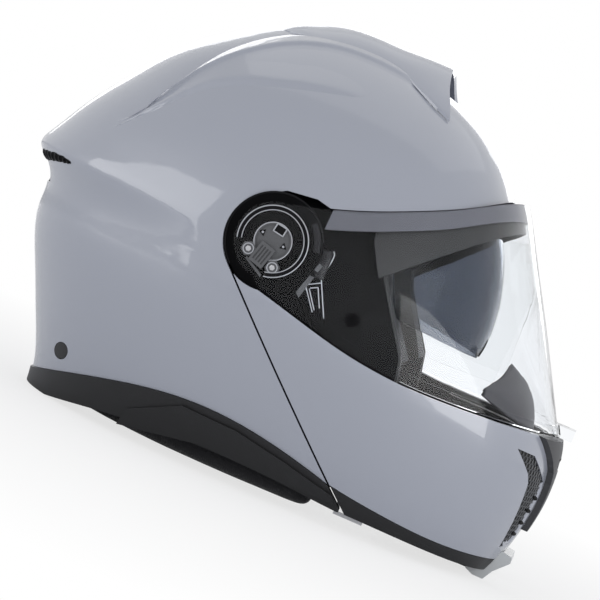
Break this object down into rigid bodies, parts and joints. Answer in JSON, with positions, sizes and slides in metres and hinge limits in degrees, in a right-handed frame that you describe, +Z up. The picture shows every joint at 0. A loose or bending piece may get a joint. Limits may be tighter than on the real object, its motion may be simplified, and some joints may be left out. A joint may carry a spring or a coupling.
{
  "type": "modular motorcycle helmet",
  "caption": "Full-face road helmet with a flip-up chin bar, a clear visor, an inner sun visor, vents, a padded lining and a buckled chin strap.",
  "frame": {"origin": "middle of the box's underside", "axes": "+X forward, +Y to the wearer's left, +Z up; the helmet stands level on its lower edge"},
  "size_m": [0.3482, 0.257, 0.2591],
  "materials": {
    "gloss_white": "white gloss lacquer",
    "clear": "clear gloss",
    "smoke": "dark gloss",
    "black_matt": "fine matt texture",
    "grey_matt": "fine matt texture",
    "grey_gloss": "satin gloss",
    "net": "moulded net",
    "foam": "foam, dyed black",
    "cloth": "brushed knit",
    "webbing": "woven band",
    "rubber": "soft moulded",
    "steel": "zinc plated",
    "cable": "sheathed cable"
  },
  "bodies": {
    "shell": {"outer_shell": "gloss_white", "eps_liner": "foam", "eps_rear_block": "foam", "crown_pad": "cloth", "left_cheek_pad": "cloth", "right_cheek_pad": "cloth", "neck_roll": "cloth", "eyeport_seal": "rubber", "brow_lining": "cloth", "lower_trim": "black_matt", "left_intercom_cover": "black_matt", "right_intercom_cover": "black_matt", "top_vent_hood": "gloss_white", "top_vent_mesh": "net", "rear_vent_mesh": "net", "rear_plugs": "black_matt", "left_side_frame": "black_matt", "right_side_frame": "black_matt", "left_base_plate": "black_matt", "right_base_plate": "black_matt", "pivot_bolts": "steel", "link_needles": "steel", "strikers": "steel", "left_strap": "webbing", "right_strap": "webbing", "strap_rivets": "steel", "buckle_receiver": "black_matt", "ratchet_tongue": "steel", "sun_visor_pins": "steel", "sun_cable": "cable"},
    "chin_bar": {"chin_bar_shell": "gloss_white", "chin_bar_liner": "black_matt", "chin_foam": "foam", "chin_centre_vent": "grey_matt", "left_chin_grille": "net", "right_chin_grille": "net", "left_chin_trim": "black_matt", "right_chin_trim": "black_matt", "chin_tip_guard": "grey_gloss", "release_lever_pin": "steel", "hook_pins": "steel", "left_arm_plate": "steel", "right_arm_plate": "steel", "left_pivot_hub": "grey_matt", "right_pivot_hub": "grey_matt", "breath_deflector": "rubber", "chin_curtain": "cloth"},
    "visor": {"visor_lens": "clear", "pinlock_lens": "clear", "pinlock_pins": "clear"},
    "sun_shield": {"sun_visor": "smoke"},
    "sun_slider": {"sun_visor_slider": "black_matt"},
    "top_slider": {"top_vent_slider": "black_matt"},
    "chin_shutter": {"chin_vent_shutter": "black_matt"},
    "release": {"release_lever": "black_matt"},
    "left_latch": {"left_latch_hook": "steel"},
    "right_latch": {"right_latch_hook": "steel"},
    "left_visor_button": {"left_visor_release": "grey_matt"},
    "right_visor_button": {"right_visor_release": "grey_matt"},
    "buckle": {"buckle_lever": "steel"}
  },
  "joints": [
    {"name": "chin_bar_hinge", "type": "hinge", "parent": "shell", "child": "chin_bar", "pos_m": [-0.015, 0, 0.131], "axis": [0, -1, 0], "range_deg": [0, 70]},
    {"name": "visor_hinge", "type": "hinge", "parent": "chin_bar", "child": "visor", "pos_m": [-0.015, 0, 0.131], "axis": [0, -1, 0], "range_deg": [0, 33]},
    {"name": "sun_visor_hinge", "type": "hinge", "parent": "shell", "child": "sun_shield", "pos_m": [-0.002, 0, 0.124], "axis": [0, -1, 0], "range_deg": [0, 40]},
    {"name": "sun_visor_slide", "type": "slide", "parent": "shell", "child": "sun_slider", "axis": [1, 0, 0], "range_m": [0, 0.014]},
    {"name": "top_vent_slide", "type": "slide", "parent": "shell", "child": "top_slider", "axis": [1, 0, 0], "range_m": [0, 0.006]},
    {"name": "chin_vent_slide", "type": "slide", "parent": "chin_bar", "child": "chin_shutter", "axis": [0, 0, -1], "range_m": [0, 0.0055]},
    {"name": "release_lever_hinge", "type": "hinge", "parent": "chin_bar", "child": "release", "pos_m": [0.15033, 0, 0.0036], "axis": [0, 1, 0], "range_deg": [0, 9], "stiffness_Nm_per_rad": 0.4, "springref_deg": -11.46},
    {"name": "left_latch_hinge", "type": "hinge", "parent": "chin_bar", "child": "left_latch", "pos_m": [0.096, 0.0846, 0.0155], "axis": [0, 1, 0], "range_deg": [0, 10]},
    {"name": "right_latch_hinge", "type": "hinge", "parent": "chin_bar", "child": "right_latch", "pos_m": [0.096, -0.0846, 0.0155], "axis": [0, 1, 0], "range_deg": [0, 10]},
    {"name": "left_visor_release_slide", "type": "slide", "parent": "chin_bar", "child": "left_visor_button", "axis": [-0.2756, 0, -0.9613], "range_m": [0, 0.0025], "stiffness_N_per_m": 400, "springref_m": -0.002},
    {"name": "right_visor_release_slide", "type": "slide", "parent": "chin_bar", "child": "right_visor_button", "axis": [-0.2756, 0, -0.9613], "range_m": [0, 0.0025], "stiffness_N_per_m": 400, "springref_m": -0.002},
    {"name": "buckle_lever_hinge", "type": "hinge", "parent": "shell", "child": "buckle", "pos_m": [-0.008, -0.0221, 0.0037], "axis": [-1, 0, 0], "range_deg": [0, 30], "stiffness_Nm_per_rad": 0.02, "springref_deg": -17.19}
  ],
  "couplings": [
    {"joint": "sun_visor_slide", "follows": "sun_visor_hinge", "m_per_rad": 0.020054},
    {"joint": "left_latch_hinge", "follows": "release_lever_hinge", "ratio": 1.1111},
    {"joint": "right_latch_hinge", "follows": "release_lever_hinge", "ratio": 1.1111}
  ]
}
